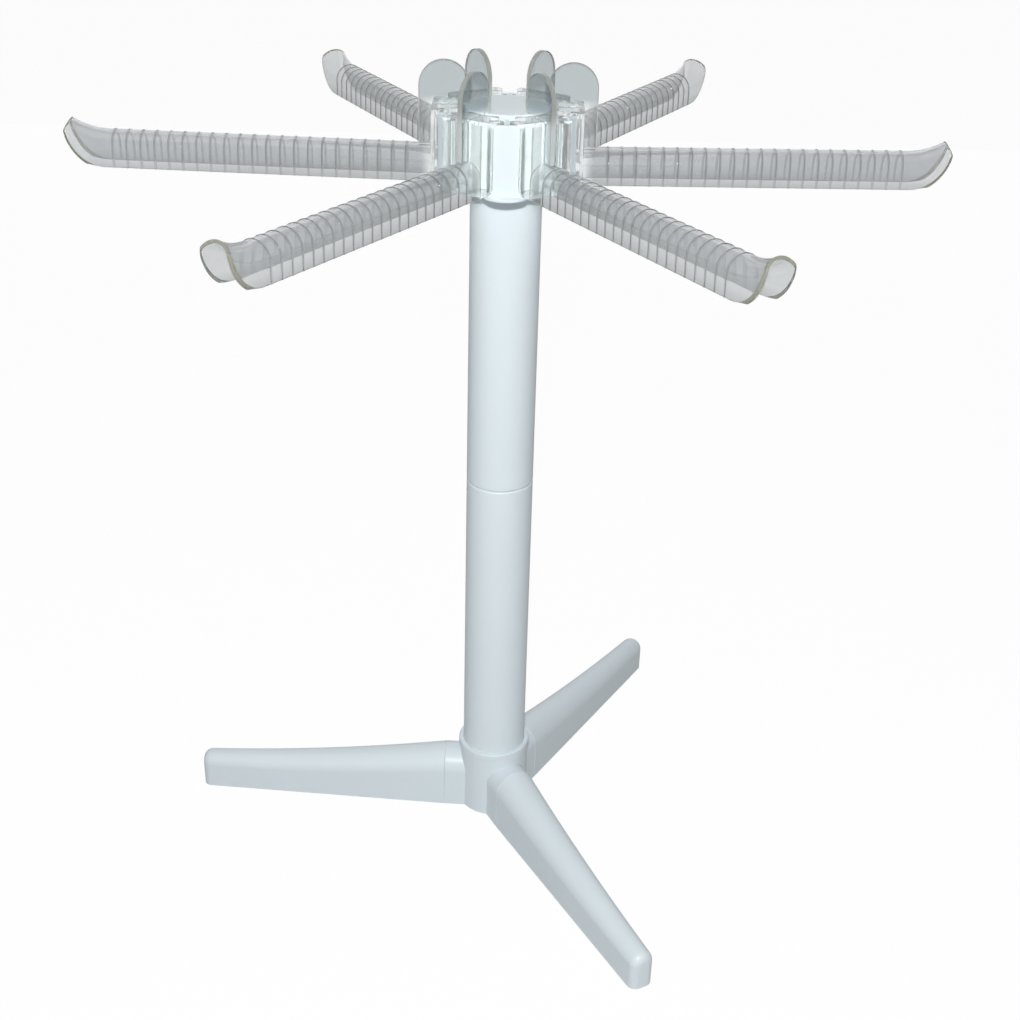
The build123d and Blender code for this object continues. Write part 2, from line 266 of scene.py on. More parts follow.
def clouding_group():
    """Moulded surface: a slow clouding of two colours, an uneven gloss and a fine grain in the normal."""
    tree = bpy.data.node_groups.new("Moulded surface", "ShaderNodeTree")
    for name, default in (
            ("Colour", (0.8, 0.8, 0.8, 1.0)), ("Shade", (0.7, 0.7, 0.7, 1.0)), ("Cloud size", 30.0),
            ("Smoothest", 0.3), ("Roughest", 0.4), ("Grain size", 1500.0), ("Grain depth", 0.02)):
        kind = "NodeSocketColor" if isinstance(default, tuple) else "NodeSocketFloat"
        tree.interface.new_socket(name, in_out="INPUT", socket_type=kind).default_value = default
    for name, kind in (("Colour", "NodeSocketColor"), ("Roughness", "NodeSocketFloat"),
                       ("Normal", "NodeSocketVector")):
        tree.interface.new_socket(name, in_out="OUTPUT", socket_type=kind)
    given = add_node(tree, "NodeGroupInput").outputs
    result = add_node(tree, "NodeGroupOutput")
    place = add_node(tree, "ShaderNodeTexCoord").outputs["Object"]
    cloud = add_node(tree, "ShaderNodeTexNoise", Detail=3.0)
    mix = add_node(tree, "ShaderNodeMix")
    mix.data_type = "RGBA"
    gloss = add_node(tree, "ShaderNodeTexNoise", Detail=5.0, Scale=120.0)
    spread = add_node(tree, "ShaderNodeMapRange")
    grain = add_node(tree, "ShaderNodeTexNoise", Detail=2.0)
    bump = add_node(tree, "ShaderNodeBump", Distance=0.0002)
    for source, node, name in (
            (place, cloud, "Vector"), (given["Cloud size"], cloud, "Scale"),
            (cloud.outputs["Fac"], mix, "Factor"), (given["Colour"], mix, "A"), (given["Shade"], mix, "B"),
            (place, gloss, "Vector"), (gloss.outputs["Fac"], spread, "Value"),
            (given["Smoothest"], spread, "To Min"), (given["Roughest"], spread, "To Max"),
            (place, grain, "Vector"), (given["Grain size"], grain, "Scale"),
            (grain.outputs["Fac"], bump, "Height"), (given["Grain depth"], bump, "Strength"),
            (mix.outputs["Result"], result, "Colour"), (spread.outputs["Result"], result, "Roughness"),
            (bump.outputs["Normal"], result, "Normal")):
        tree.links.new(source, node.inputs[name])
    return tree


def moulded(tree, shader, colour, shade, **values):
    """Feeds a shader from the moulded surface group, and gives back the group's colour."""
    node = add_node(tree, "ShaderNodeGroup")
    node.node_tree = bpy.data.node_groups.get("Moulded surface") or clouding_group()
    fill(node, Colour=(*colour, 1.0), Shade=(*shade, 1.0), **values)
    for name, target in (("Colour", "Base Color"), ("Roughness", "Roughness"), ("Normal", "Normal")):
        tree.links.new(node.outputs[name], shader.inputs[target])
    return node.outputs["Colour"]


def white_material(name):
    finish = bpy.context.scene.rack_finish
    material, tree, shader = new_material(name, IOR=PLASTIC_IOR, Specular_IOR_Level=0.45)
    moulded(tree, shader, finish.white, finish.white_shade, Cloud_size=18.0, Smoothest=0.30, Roughest=0.42,
            Grain_size=2200.0, Grain_depth=0.05)
    return material


def point_axes(tree):
    """The X, Y and Z of the shaded point in its object's frame."""
    split = add_node(tree, "ShaderNodeSeparateXYZ")
    tree.links.new(add_node(tree, "ShaderNodeTexCoord").outputs["Object"], split.inputs["Vector"])
    return split.outputs


def span_mask(tree, source, start, end):
    """A value that rises from 0 to 1 as its source goes from start to end."""
    span = add_node(tree, "ShaderNodeMapRange", From_Min=start, From_Max=end)
    tree.links.new(source, span.inputs["Value"])
    return span.outputs["Result"]


def calculate(tree, operation, *sources):
    """A math node on sockets and plain numbers."""
    node = add_node(tree, "ShaderNodeMath")
    node.operation = operation
    for i, source in enumerate(sources):
        if isinstance(source, (int, float)):
            node.inputs[i].default_value = source
        else:
            tree.links.new(source, node.inputs[i])
    return node.outputs[0]


def tint_between(tree, mask, low, high):
    """Mixes two colours, given as sockets or as plain colours, by a mask."""
    mix = add_node(tree, "ShaderNodeMix")
    mix.data_type = "RGBA"
    tree.links.new(mask, mix.inputs["Factor"])
    for name, source in (("A", low), ("B", high)):
        if isinstance(source, bpy.types.NodeSocket):
            tree.links.new(source, mix.inputs[name])
        else:
            mix.inputs[name].default_value = (*source, 1.0)
    return mix.outputs["Result"]


def rib_pitch(arm):
    return (arm.rib_last - arm.rib_first) / (arm.ribs - 1)


def rib_shade_mask(tree, along, arm):
    """1 in the ribs of an arm, 0 between and beyond them: where the ribs' painted shade goes."""
    pitch = rib_pitch(arm)
    crown = 0.6
    step = calculate(tree, "DIVIDE", calculate(tree, "SUBTRACT", along, arm.rib_first - pitch / 2), pitch)
    place = calculate(tree, "FRACT", step)
    off_middle = calculate(tree, "ABSOLUTE", calculate(tree, "SUBTRACT", place, 0.5))
    half = arm.rib_width / 2 / pitch
    in_rib = span_mask(tree, off_middle, half, half * crown)
    inside = calculate(tree, "COMPARE", along, (arm.rib_first + arm.rib_last) / 2,
                       (arm.rib_last - arm.rib_first + pitch) / 2)
    return calculate(tree, "MULTIPLY", in_rib, inside)


def clear_material(name):
    """Clear plastic, palest in the roots, deeper in the tabs and towards the arms' lower edges, and with
    painted shade in the ribs.
    """
    scene = bpy.context.scene
    finish, head, arm = scene.rack_finish, scene.rack_head, scene.rack_arm
    material, tree, shader = new_material(name, Transmission_Weight=0.9, IOR=PLASTIC_IOR)
    tint = moulded(tree, shader, finish.clear, finish.clear_shade, Cloud_size=60.0, Smoothest=0.02,
                   Roughest=0.09, Grain_size=700.0, Grain_depth=0.03)
    along, _, height = point_axes(tree)
    side_start, side_end, root_fade, tab_start, tab_end = 0.55, 0.9, 0.006, 0.001, 0.004
    low = span_mask(tree, height, arm.crest - arm.height * side_start, arm.crest - arm.height * side_end)
    outside = span_mask(tree, along, head.root_face, head.root_face + root_fade)
    above = span_mask(tree, height, head.cap_top - tab_start, head.cap_top + tab_end)
    tint = tint_between(tree, low, tint, finish.lower_edge_darkening)
    # Painted shade in the ribs: a darker colour for the dark lines that light draws along them.
    tint = tint_between(tree, rib_shade_mask(tree, along, arm), tint, finish.rib)
    tint = tint_between(tree, outside, finish.root, tint)
    tint = tint_between(tree, above, tint, finish.tab)
    tree.links.new(tint, shader.inputs["Base Color"])
    lit_through = add_node(tree, "ShaderNodeBsdfTransparent", Color=(0.9, 0.9, 0.9, 1.0))
    path = add_node(tree, "ShaderNodeLightPath")
    mix_surfaces(tree, path.outputs["Is Shadow Ray"], shader, lit_through, "Material Output")
    return material


def edge_material(name):
    """Satin edges: olive along the lips, paler on the tabs, and as clear as the roots in front of those."""
    finish, head = bpy.context.scene.rack_finish, bpy.context.scene.rack_head
    material, tree, shader = new_material(name, Transmission_Weight=0.55, IOR=PLASTIC_IOR)
    on_lip = moulded(tree, shader, finish.edge, finish.edge_shade, Cloud_size=90.0, Smoothest=0.25,
                     Roughest=0.40, Grain_size=900.0, Grain_depth=0.05)
    along, _, height = point_axes(tree)
    lip_start, lip_end, tab_start, tab_end = 0.010, 0.020, 0.004, 0.006
    outside = span_mask(tree, along, head.root_face + lip_start, head.root_face + lip_end)
    above = span_mask(tree, height, head.cap_top - tab_start, head.cap_top + tab_end)
    on_tab = tint_between(tree, above, finish.root, finish.tab_edge)
    tree.links.new(tint_between(tree, outside, on_tab, on_lip), shader.inputs["Base Color"])
    return material


# Kinds of plastic: name of the material, what builds it, and its slot
PLASTICS = {
    "white": ("Moulded white plastic", white_material, "white_plastic"),
    "clear": ("Moulded clear plastic", clear_material, "clear_plastic"),
    "edge": ("Satin edge of the clear plastic", edge_material, "clear_plastic"),
}


def finish_piece(made, plastic, body, *nodes):
    """Gives a piece its plastic, tells the frame its body, and hides the nodes that it replaces."""
    name, build, slot = PLASTICS[plastic]
    made.data.materials.clear()
    made.data.materials.append(bpy.data.materials.get(name) or build(name))
    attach(made, body)
    if nodes:
        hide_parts(*nodes)


# Mesh helpers

def spread(total, steps):
    """Equal steps from 0 up to a total, with both ends."""
    return [total * k / steps for k in range(steps + 1)]


def object_from(name, vertices, faces):
    mesh = bpy.data.meshes.new(name)
    mesh.from_pydata(vertices, [], faces)
    mesh.validate()
    made = bpy.data.objects.new(name, mesh)
    bpy.context.scene.collection.objects.link(made)
    return made


def tidy_normals(made):
    """Merges doubled corners and turns every face outwards."""
    mesh = bmesh.new()
    mesh.from_mesh(made.data)
    bmesh.ops.remove_doubles(mesh, verts=mesh.verts, dist=1e-7)
    bmesh.ops.recalc_face_normals(mesh, faces=mesh.faces)
    mesh.to_mesh(made.data)
    mesh.free()
    return made


def grid_faces(rows, count, closed=False):
    """Faces from ring to ring of corners, and from the last ring to the first where the grid is closed."""
    faces = []
    for row in range(rows if closed else rows - 1):
        a, b = row * count, (row + 1) % rows * count
        for i in range(count):
            j = (i + 1) % count
            faces.append([a + i, b + i, b + j, a + j])
    return faces


def lofted(name, rings):
    """A closed solid from ring to ring of corners."""
    rows, count = len(rings), len(rings[0])
    ends = [list(range(count))[::-1], [(rows - 1) * count + i for i in range(count)]]
    vertices = [corner for ring in rings for corner in ring]
    return tidy_normals(object_from(name, vertices, ends + grid_faces(rows, count)))


def prism(name, outline, low, high):
    """An upright solid on a flat outline of (x, y) points."""
    return lofted(name, [[(x, y, z) for x, y in outline] for z in (low, high)])


def slab(name, near, far, half, low, high):
    """An upright block across the X axis, from near to far."""
    return prism(name, [(near, -half), (far, -half), (far, half), (near, half)], low, high)


def turned_solid(name, outline, sides=ROUND_SIDES):
    """A round solid on the Z axis from a closed outline of (radius, height) points."""
    vertices = [(r * cos(turn), r * sin(turn), z) for turn in spread(2 * pi, sides)[:-1] for r, z in outline]
    return tidy_normals(object_from(name, vertices, grid_faces(sides, len(outline), closed=True)))


def disc(name, radius, low, high, sides=ROUND_SIDES):
    outline = [(radius * cos(turn), radius * sin(turn)) for turn in spread(2 * pi, sides)[:-1]]
    return prism(name, outline, low, high)


def turned_copy(made, angle):
    """A copy of a solid, turned about the Z axis."""
    copy = bpy.data.objects.new(made.name, made.data.copy())
    copy.data.transform(Matrix.Rotation(angle, 4, "Z"))
    bpy.context.scene.collection.objects.link(copy)
    return copy


def placed_copy(context, made, name, angle):
    """Another object on a solid's mesh, turned about the Z axis."""
    copy = bpy.data.objects.new(name, made.data)
    context.scene.collection.objects.link(copy)
    copy.rotation_euler = (0.0, 0.0, angle)
    context.view_layer.update()
    return copy


def modified(made, kind, **settings):
    """Replaces an object's mesh by the one that a modifier makes of it."""
    modifier = made.modifiers.new(kind.title(), kind)
    for name, value in settings.items():
        setattr(modifier, name, value)
    bpy.context.view_layer.update()
    depsgraph = bpy.context.evaluated_depsgraph_get()
    old, made.data = made.data, bpy.data.meshes.new_from_object(made.evaluated_get(depsgraph))
    made.modifiers.clear()
    bpy.data.meshes.remove(old)
    return made


def combine(base, tool, operation):
    """Joins or cuts one solid by another, and removes the other."""
    modified(base, "BOOLEAN", operation=operation, solver="MANIFOLD", object=tool)
    bpy.data.objects.remove(tool)
    return base


def combine_turned(base, tool, angles, operation):
    """Joins or cuts one solid by turned copies of another, and removes the other."""
    for angle in angles:
        combine(base, turned_copy(tool, angle), operation)
    bpy.data.objects.remove(tool)


def soften(made, width, segments=2, angle=50.0):
    """Rounds the edges of a solid."""
    return modified(made, "BEVEL", width=width, segments=segments, limit_method="ANGLE",
                    angle_limit=radians(angle), use_clamp_overlap=True)


def smooth(made, angle=40.0):
    """Shades a solid smoothly between its sharp edges, and keeps its flat faces flat."""
    made.data.polygons.foreach_set("use_smooth", [True] * len(made.data.polygons))
    made.data.set_sharp_from_angle(angle=radians(angle))
    made.data.update()
    return modified(made, "WEIGHTED_NORMAL", keep_sharp=True, weight=90)


# Arms

def slot_point(along, aside):
    """A point measured along the post beside an arm and sideways from that post's middle."""
    turn = pi / ARMS
    return (along * cos(turn) + aside * sin(turn), along * sin(turn) - aside * cos(turn))


def slot_exit(x, aside):
    """Where the line at one distance beside the post's middle crosses an X value of the arm's frame."""
    turn = pi / ARMS
    return slot_point((x - aside * sin(turn)) / cos(turn), aside)


def mirrored(points):
    return list(points) + [(x, -y) for x, y in reversed(points)]


def root_outline(head, inset):
    """Outline of an arm's root, drawn in by an inset."""
    beside_web = head.web / 2 + head.gap + inset
    beside_post = head.post_width / 2 + head.gap + inset
    behind_post = head.post_face - head.post_thickness - head.gap - inset
    inner = head.core_radius + head.gap + inset
    outer = head.root_face if inset == 0 else head.root_face - head.face_wall
    return mirrored([
        slot_exit(inner, beside_web), slot_point(behind_post, beside_web),
        slot_point(behind_post, beside_post), slot_exit(outer, beside_post)])


def make_root(head):
    """The hollow root, with large lower corners on its outer face."""
    root = prism("arm_root", root_outline(head, 0.0), head.floor_top, head.head_top)
    mesh = bmesh.new()
    mesh.from_mesh(root.data)
    near = 1e-5
    low = []
    for edge in mesh.edges:
        ends = [v.co for v in edge.verts]
        at_floor = all(abs(p.z - head.floor_top) < near for p in ends)
        if at_floor and sum(p.x > head.root_face - near for p in ends) == 1:
            low.append(edge)
    bmesh.ops.bevel(mesh, geom=low, offset=head.root_corner, segments=8, profile=0.5, affect="EDGES")
    mesh.to_mesh(root.data)
    mesh.free()
    soften(root, head.root_edge)
    below = 0.002
    hollow = prism("arm_root_hollow", root_outline(head, head.root_wall), head.floor_top - below,
                   head.head_top)
    return combine(root, hollow, "DIFFERENCE")


def rounded(points, corners, radius, steps=6):
    """A flat outline whose numbered corners are rounded."""
    out = []
    count = len(points)
    for i, point in enumerate(points):
        if i not in corners:
            out.append(point)
            continue
        here = Vector(point)
        before = (Vector(points[i - 1]) - here).normalized()
        after = (Vector(points[(i + 1) % count]) - here).normalized()
        half = before.angle(after) / 2
        reach = radius / tan(half)
        centre = here + (before + after).normalized() * (radius / sin(half))
        start = here + before * reach - centre
        end = here + after * reach - centre
        sweep = start.angle_signed(end)
        for turn in spread(-sweep, steps):
            out.append((centre.x + start.x * cos(turn) - start.y * sin(turn),
                        centre.y + start.x * sin(turn) + start.y * cos(turn)))
    return out


def make_top_plate(head):
    """The plate on a root, with rounded outer corners and an inner edge that follows the core."""
    start = slot_exit(head.core_radius + head.gap, head.plate_inset)
    end = slot_exit(head.root_face, head.plate_inset)
    half = Vector(start).angle(Vector((1.0, 0.0)))
    radius = Vector(start).length
    outline = [(end[0], -end[1]), end, start]
    steps, sink = 8, 0.0004
    for k in range(1, steps - 1):
        turn = half * (1 - 2 * k / steps)
        outline.append((radius * cos(turn), radius * sin(turn)))
    outline.append((start[0], -start[1]))
    outline = rounded(outline, (0, 1), head.plate_corner)
    plate = prism("arm_plate", outline, head.head_top - sink, head.head_top + head.plate)
    return soften(plate, head.plate_edge)


def tab_crown(head, steps):
    """The tab's rounded crown as (x, z, out x, out z) points, from its outer side to its inner one."""
    radius = head.tab_width / 2
    middle = head.tab_inner + radius
    shoulder = head.tab_top - radius
    return [(middle + radius * cos(turn), shoulder + radius * sin(turn), cos(turn), sin(turn))
            for turn in spread(pi, steps)]


def make_tab(arm, head):
    """The upright finger tab, which runs down behind the root's outer wall."""
    foot = head.cap_top + head.tab_gap
    inner = head.core_radius + head.gap
    outer = head.root_face - SINK
    low = arm.crest - SINK
    outline = [(head.tab_inner, foot), (inner, foot), (inner, head.floor_top), (outer, head.floor_top),
               (outer, low), (head.tab_inner + head.tab_width, low)]
    outline += [(x, z) for x, z, _, _ in tab_crown(head, 32)]
    tab = prism("arm_tab", outline, -head.blade / 2, head.blade / 2)
    tab.data.transform(Matrix.Rotation(pi / 2, 4, "X"))
    return soften(tab, TAB_EDGE)


def channel_profile(arm):
    """The channel's section as (y, z, out y, out z) points: its outside up and over, its inside back."""
    side_steps = 9
    sides = []
    for half, crest in ((arm.half_width, 0.0), (arm.half_width - arm.wall, -arm.wall)):
        shoulder = crest - half
        levels = [-arm.height + (shoulder + arm.height) * (1 - cos(turn))
                  for turn in spread(pi / 2, side_steps)[:-1]]
        arch = [(-half * cos(turn), shoulder + half * sin(turn), -cos(turn), sin(turn))
                for turn in spread(pi, ARCH_SIDES)]
        sides.append([(-half, z, -1.0, 0.0) for z in levels] + arch
                     + [(half, z, 1.0, 0.0) for z in reversed(levels)])
    outer, inner = sides
    return outer, inner[::-1]


def lip_bend(arm):
    """Where the crest's upward bend starts, and how far it turns."""
    last_turn = acos(1 - arm.lip_rise / arm.lip_bend)
    return arm.reach - arm.lip_nose - arm.lip_bend * sin(last_turn), last_turn


def bend_point(arm, depth, turn):
    """The X and Z of a point at one depth below the crest and one turn round the bend."""
    radius = arm.lip_bend + depth
    return lip_bend(arm)[0] + radius * sin(turn), arm.lip_bend - radius * cos(turn)


def lip_end(arm, depth):
    """How far round the bend a line at one depth below the crest runs before it meets the lip's edge."""
    centre = arm.reach - arm.lip_sweep
    tall = arm.lip_sweep_rise + arm.height
    halvings = 40

    def outside(turn):
        x, z = bend_point(arm, depth, turn)
        if x <= centre:
            return False
        return ((x - centre) / arm.lip_sweep) ** 2 + (min(z - arm.lip_sweep_rise, 0.0) / tall) ** 2 > 1.0

    low, high = 0.0, lip_bend(arm)[1]
    if not outside(high):
        return high
    for _ in range(halvings):
        middle = (low + high) / 2
        low, high = (low, middle) if outside(middle) else (middle, high)
    return low


def lip_ends(arm, points, crest):
    """How far round the bend each point of a section runs."""
    return [lip_end(arm, max(crest - z, 0.0)) for _, z, _, _ in points]


def lip_point(arm, point, pull, turn, past=0.0):
    """A section's point, pulled inwards, at one turn round the bend and a bit past it."""
    y, z, out_y, out_z = point
    depth = out_z * pull - z
    x, height = bend_point(arm, depth, turn + past / (arm.lip_bend + depth))
    return x, y - out_y * pull, height


def place_on_arm(made, arm, head):
    """Moves what is drawn along a level crest to the arm's height and slope."""
    made.data.transform(Matrix.Translation((-head.root_face, 0.0, 0.0)))
    place = Matrix.Translation((head.root_face, 0.0, arm.crest))
    made.data.transform(place @ Matrix.Rotation(-arm.slope, 4, "Y"))
    return made


def make_channel(arm, head):
    """The ribbed channel as one closed grid, whose end is cut along the lip's edge."""
    overlap, lip_rows, rim = 0.0008, 20, 0.0003
    outer, inner = channel_profile(arm)
    profile = [(p, True) for p in outer] + [(p, False) for p in inner]
    count = len(profile)
    stations = [(head.root_face - overlap, 0.0)]
    for i in range(arm.ribs):
        middle = arm.rib_first + i * rib_pitch(arm)
        stations += [(middle + t * arm.rib_width / 2, share * arm.rib_height) for t, share in RIB_SHAPE]
    vertices = []
    for x, growth in stations:
        for (y, z, out_y, out_z), is_outer in profile:
            grow = growth if is_outer else 0.0
            vertices.append((x, y + out_y * grow, z + out_z * grow))
    ends = lip_ends(arm, outer, 0.0) + lip_ends(arm, inner, -arm.wall)
    rows = spread(1.0, lip_rows) + [1.0]
    for row, share in enumerate(rows):
        is_rim = row == len(rows) - 1
        past = -LIP_EDGE if row == len(rows) - 2 else 0.0
        for (point, is_outer), end in zip(profile, ends):
            pull = 0.0 if is_outer else -arm.lip_thinning * share
            if is_rim:
                pull += rim if is_outer else -rim
            vertices.append(lip_point(arm, point, pull, end * share, past))
    total = len(stations) + len(rows)
    faces = grid_faces(total, count)
    for start, flip in ((0, False), ((total - 1) * count, True)):
        for i in range(count // 2 - 1):
            quad = [start + i, start + i + 1, start + count - 2 - i, start + count - 1 - i]
            faces.append(quad[::-1] if flip else quad)
    return place_on_arm(tidy_normals(object_from("arm_channel", vertices, faces)), arm, head)


def make_lip_edge(arm, head):
    """The satin edge of a lip: a thin band over the wall's end."""
    outer, inner = channel_profile(arm)
    inner = inner[::-1]
    inside, past = SKIN - arm.lip_thinning, 0.0001
    rings = []
    for out_point, in_point, out_end, in_end in zip(
            outer, inner, lip_ends(arm, outer, 0.0), lip_ends(arm, inner, -arm.wall)):
        rings.append([
            lip_point(arm, out_point, -SKIN, out_end, -LIP_EDGE),
            lip_point(arm, out_point, -SKIN, out_end, past),
            lip_point(arm, in_point, inside, in_end, past),
            lip_point(arm, in_point, inside, in_end, -LIP_EDGE)])
    return place_on_arm(lofted("lip_edge", rings), arm, head)


def make_tab_edge(arm, head):
    """The satin edge of a tab: a thin band over its outline."""
    above_crest = 0.0006
    half = head.blade / 2 + SKIN
    path = [(head.tab_inner + head.tab_width, arm.crest + above_crest, 1.0, 0.0), *tab_crown(head, 48),
            (head.tab_inner, head.cap_top + head.tab_gap, -1.0, 0.0)]
    section = ((SKIN, -half), (SKIN, half), (-TAB_EDGE, half), (-TAB_EDGE, -half))
    return lofted("tab_edge", [
        [(x + out_x * reach, y, z + out_z * reach) for reach, y in section] for x, z, out_x, out_z in path])


class RACK_OT_arms(bpy.types.Operator):
    """Build the six clear arms"""
    bl_idname = "rack.arms"
    bl_label = "Clear arms"
    bl_options = {"REGISTER", "UNDO"}

    def execute(self, context):
        arm, head = context.scene.rack_arm, context.scene.rack_head
        least_faces = 1000
        piece = make_channel(arm, head)
        for part in (make_root(head), make_top_plate(head), make_tab(arm, head)):
            combine(piece, part, "UNION")
        if len(piece.data.polygons) < least_faces:
            raise RuntimeError("The arm's pieces did not join")
        edges = combine(make_lip_edge(arm, head), make_tab_edge(arm, head), "UNION")
        for made in (piece, edges):
            smooth(made)
        for k, angle in enumerate(spread(2 * pi, ARMS)[:-1]):
            body = "arm_%d" % (k + 1)
            finish_piece(placed_copy(context, piece, "clear_%s" % body, angle), "clear", body, body)
            finish_piece(placed_copy(context, edges, "clear_edges_%d" % (k + 1), angle), "edge", body)
        for made in (piece, edges):
            bpy.data.objects.remove(made)
        return {"FINISHED"}


# Head

def make_lug(head, low, high, edge, inset=0.0):
    """The rounded lug below a post, or the round block that trims a post's flare."""
    radius = head.lug_radius - inset
    outline = rounded([(0.0, low), (radius, low), (radius, high), (0.0, high)], (1, 2), edge, 3)
    lug = turned_solid("head_lug", outline, LUG_SIDES)
    lug.data.transform(Matrix.Translation((head.lug_reach - head.lug_radius, 0.0, 0.0)))
    return lug


def make_post(head):
    """A post, whose foot widens onto the floor in two hollow curves."""
    sink, steps = 0.0006, 8
    hollow = head.root_corner + head.gap
    side = head.post_width / 2 + hollow
    level = head.floor_top + head.root_corner
    half = [(side, head.floor_top - sink)]
    for turn in spread(pi / 2, steps):
        half.append((side - hollow * sin(turn), level - hollow * cos(turn)))
    half.append((head.post_width / 2, head.head_top))
    outline = half + [(-y, z) for y, z in reversed(half)]
    inner = head.post_face - head.post_thickness
    post = lofted("head_post", [[(x, y, z) for y, z in outline] for x in (inner, head.post_face)])
    soften(post, head.edge, 3, 60.0)
    over, trim_edge, inset = 0.001, 0.0001, 0.0002
    return combine(post, make_lug(head, head.bottom, head.head_top + over, trim_edge, inset), "INTERSECT")


def make_head_core(head, column):
    """The central tube with its spigot, floor, lugs, webs and posts."""
    bore = head.core_radius - head.core_wall
    inside = column.spigot - head.spigot_wall
    low = head.bottom - head.spigot_length
    outline = rounded([
        (column.spigot, low), (column.spigot, head.bottom), (head.floor_radius, head.bottom),
        (head.floor_radius, head.floor_top), (head.core_radius, head.floor_top),
        (head.core_radius, head.head_top), (bore, head.head_top), (bore, head.floor_top),
        (inside, head.floor_top), (inside, low),
    ], (2, 3, 5), head.edge, 3)
    body = turned_solid("white_head_core", outline, EVEN_SIDES)
    web_sink, step = 0.0005, 360.0 / ARMS
    web = slab("head_web", head.core_radius - SINK, head.post_face - SINK, head.web / 2,
               head.floor_top - web_sink, head.head_top - UNDERCUT)
    post = make_post(head)
    lug = make_lug(head, head.bottom + UNDERCUT, head.floor_top - UNDERCUT, head.edge)
    for k in range(ARMS):
        for piece in (lug, web, post):
            combine(body, turned_copy(piece, radians(step / 2 + step * k)), "UNION")
    for piece in (lug, web, post):
        bpy.data.objects.remove(piece)
    return body


def make_cap(head):
    """The disc that closes the core, with fingers below that find its bore."""
    fit, sink, fingers, first = 0.00006, 0.0005, 3, 30.0
    cap = turned_solid("white_centre_cap", rounded(
        [(0.0, head.head_top), (head.core_radius, head.head_top), (head.core_radius, head.cap_top),
         (0.0, head.cap_top)], (2,), head.edge * 1.5, 4))
    face = head.core_radius - head.core_wall - fit
    half = head.finger_width / 2
    reach = (face * face - half * half) ** 0.5
    finger = slab("cap_finger", reach - head.finger_wall, reach, half, head.head_top - head.finger_length,
                  head.head_top + sink)
    combine_turned(cap, finger, [radians(first + 360.0 / fingers * k) for k in range(fingers)], "UNION")
    return cap


class RACK_OT_head(bpy.types.Operator):
    """Build the head and its cap"""
    bl_idname = "rack.head"
    bl_label = "Head"
    bl_options = {"REGISTER", "UNDO"}

    def execute(self, context):
        head, column = context.scene.rack_head, context.scene.rack_column
        for made, node in ((make_head_core(head, column), "head_core"), (make_cap(head), "centre_cap")):
            smooth(made, WHITE_CREASE)
            finish_piece(made, "white", "head", node)
        return {"FINISHED"}


# Column

def make_tube(name, column, low, high, low_lip, high_lip, neck=0.0):
    """One tube of the column, with rounded ends and a neck on top where it has one."""
    outline = [(column.bore, low), (column.radius, low), (column.radius, high)]
    if neck:
        neck_bore = column.spigot - column.neck_wall
        shelf = high - (column.radius - column.bore)
        outline += [(column.spigot, high), (column.spigot, high + neck), (neck_bore, high + neck),
                    (neck_bore, shelf), (column.bore, shelf)]
    else:
        outline += [(column.bore, high)]
    for corner, lip in ((2, high_lip), (1, low_lip)):
        outline = rounded(outline, (corner,), lip)
    return turned_solid(name, outline, TUBE_SIDES)


class RACK_OT_column(bpy.types.Operator):
    """Build the two tubes of the column"""
    bl_idname = "rack.column"
    bl_label = "Column"
    bl_options = {"REGISTER", "UNDO"}

    def execute(self, context):
        column, head, foot = context.scene.rack_column, context.scene.rack_head, context.scene.rack_foot
        lower = make_tube("white_lower_tube", column, foot.socket_floor, column.seam, column.end_edge,
                          column.lower_lip, column.neck_length)
        upper = make_tube("white_upper_tube", column, column.seam, head.bottom, column.upper_lip,
                          column.end_edge)
        for made, node in ((lower, "lower_tube"), (upper, "upper_tube")):
            smooth(made, WHITE_CREASE)
            finish_piece(made, "white", node, node)
        return {"FINISHED"}


# Foot

def arch_ring(x, half_width, crest, foot, sides):
    """Corners round an upright section at one distance: up a side, over the arch and down again."""
    shoulder = crest - half_width
    arch = [(x, -half_width * cos(turn), shoulder + half_width * sin(turn)) for turn in spread(pi, sides)]
    return [(x, -half_width, foot), *arch, (x, half_width, foot)]


def leg_rings(foot, stations, low):
    """Sections of a leg at its stations: distances along it, each with an inset."""
    rings = []
    for x, inset in stations:
        share = (x - foot.seam) / (foot.reach - foot.seam)
        half = foot.root_half_width + (foot.tip_half_width - foot.root_half_width) * share - inset
        fall = (foot.root_height - foot.tip_height) * share
        crest = foot.root_height - fall - 4 * foot.sag * share * (1 - share) - inset
        rings.append(arch_ring(x, half, crest, low, ARCH_SIDES))
    return rings


def leg_angles(foot):
    return [pi + foot.turn + turn for turn in spread(2 * pi, LEGS)[:-1]]


def tongue_block(name, foot, start, end, grow=0.0, low_grow=0.0):
    """An arched block like a leg's tongue, grown all round and below."""
    half_width, crest = foot.tongue_half_width + grow, foot.tongue_top + grow
    return lofted(name, [
        arch_ring(x, half_width, crest, foot.tongue_bottom - low_grow, BLOCK_SIDES) for x in (start, end)])


